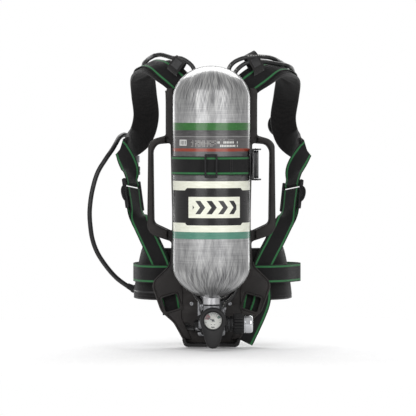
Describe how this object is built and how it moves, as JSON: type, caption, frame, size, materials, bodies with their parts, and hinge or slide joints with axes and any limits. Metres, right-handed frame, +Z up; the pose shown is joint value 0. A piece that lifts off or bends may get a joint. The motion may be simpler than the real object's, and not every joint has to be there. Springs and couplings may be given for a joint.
{
  "type": "breathing air pack",
  "caption": "Air cylinder strapped to a back plate with valve, gauge, pressure reducer, hoses, padded shoulder harness and waist belt; valve wheel, coupling, locks, buckle and pointers move.",
  "frame": {"origin": "middle of the back plate's face towards the wearer", "axes": "+Z up, +Y out of the plate towards the wearer, +X to the right seen from behind the wearer"},
  "size_m": [0.4654, 0.4253, 0.6071],
  "materials": {
    "black_plastic": "fine moulded grain",
    "rubber": "matte moulded rubber",
    "steel": "satin",
    "composite": "fibre overwrap under a clear glossy gel coat",
    "liner_aluminium": "plain",
    "chrome": "polished plating",
    "brass": "machined",
    "cast_alloy": "anodised dark grey",
    "dial_face": "printed dial",
    "pointer_black": "matte paint",
    "lens": "clear window",
    "webbing": "woven, with green stripes near both edges",
    "pad_fabric": "padded woven cover",
    "buckle_plastic": "moulded",
    "red_button": "moulded",
    "hose_rubber": "smooth rubber hose"
  },
  "bodies": {
    "pack": {"back_plate": "black_plastic", "plate_bumper": "rubber", "reducer_bracket": "steel", "rest_pads": "rubber", "strap_bracket": "steel", "plate_screws": "steel", "cylinder_wrap": "composite", "cylinder_liner": "liner_aluminium", "neck_seal": "rubber", "valve_body": "chrome", "burst_disc": "brass", "gauge_boot": "rubber", "gauge_case": "chrome", "gauge_dial": "dial_face", "gauge_lens": "lens", "reducer_nipple": "brass", "reducer_body": "cast_alloy", "hose_ports": "chrome", "cylinder_strap": "webbing", "strap_slider": "black_plastic", "cam_frame": "black_plastic", "cam_pin": "steel", "shoulder_pad_left": "pad_fabric", "shoulder_pad_right": "pad_fabric", "shoulder_webbing_left": "webbing", "shoulder_webbing_right": "webbing", "shoulder_anchors": "steel", "hose_keeper_left": "webbing", "hose_keeper_right": "webbing", "pull_strap_left": "webbing", "pull_strap_right": "webbing", "hip_pad": "pad_fabric", "belt_left": "webbing", "belt_right": "webbing", "belt_clamp": "black_plastic", "buckle_socket": "buckle_plastic", "buckle_tongue": "chrome", "supply_hose": "hose_rubber", "hose_gland": "rubber", "demand_hose": "hose_rubber", "demand_coupling": "chrome", "rescue_hose": "hose_rubber", "rescue_coupling": "chrome", "gauge_line": "hose_rubber", "whistle_line": "hose_rubber", "console_boot": "rubber", "console_dial": "dial_face", "console_lens": "lens", "alarm_whistle": "chrome"},
    "handwheel": {"valve_spindle": "steel", "valve_handwheel": "rubber", "handwheel_cap": "chrome"},
    "gauge_pointer": {"gauge_needle": "pointer_black"},
    "coupling": {"coupling_wheel": "rubber"},
    "lever": {"cam_lever": "black_plastic"},
    "lock_left": {"strap_lock_left": "black_plastic"},
    "lock_right": {"strap_lock_right": "black_plastic"},
    "button": {"buckle_button": "red_button"},
    "sleeve": {"demand_sleeve": "steel"},
    "console_pointer": {"console_needle": "pointer_black"}
  },
  "joints": [
    {"name": "handwheel_turn", "type": "hinge", "parent": "pack", "child": "handwheel", "pos_m": [0.05, -0.095, -0.276], "axis": [1, 0, 0], "range_deg": [0, 630]},
    {"name": "gauge_pointer_swing", "type": "hinge", "parent": "pack", "child": "gauge_pointer", "pos_m": [0.003, -0.136, -0.267], "axis": [0, 1, 0], "range_deg": [-73, 197]},
    {"name": "coupling_turn", "type": "hinge", "parent": "pack", "child": "coupling", "pos_m": [0, -0.06, -0.275], "axis": [0, 1, 0], "continuous": true},
    {"name": "strap_lever", "type": "hinge", "parent": "pack", "child": "lever", "pos_m": [0.09101, -0.09886, 0.048], "axis": [0, 0, 1], "range_deg": [0, 110]},
    {"name": "lock_tilt_left", "type": "hinge", "parent": "pack", "child": "lock_left", "pos_m": [-0.16512, 0.06962, 0.00454], "axis": [-0.6609, -0.734, 0.1564], "range_deg": [0, 25], "deforming": ["pull_strap_left"]},
    {"name": "lock_tilt_right", "type": "hinge", "parent": "pack", "child": "lock_right", "pos_m": [0.16849, 0.07146, 0.00191], "axis": [-0.776, 0.6063, -0.1736], "range_deg": [0, 25], "deforming": ["pull_strap_right"]},
    {"name": "buckle_press", "type": "slide", "parent": "pack", "child": "button", "axis": [0, -1, 0], "range_m": [0, 0.003], "stiffness_N_per_m": 300, "springref_m": -0.002},
    {"name": "sleeve_slide", "type": "slide", "parent": "pack", "child": "sleeve", "axis": [0, 0, 1], "range_m": [0, 0.005], "stiffness_N_per_m": 500, "springref_m": -0.003},
    {"name": "console_pointer_swing", "type": "hinge", "parent": "pack", "child": "console_pointer", "pos_m": [0.145, 0.2231, 0.127], "axis": [0, 1, 0], "range_deg": [-105, 165]}
  ]
}
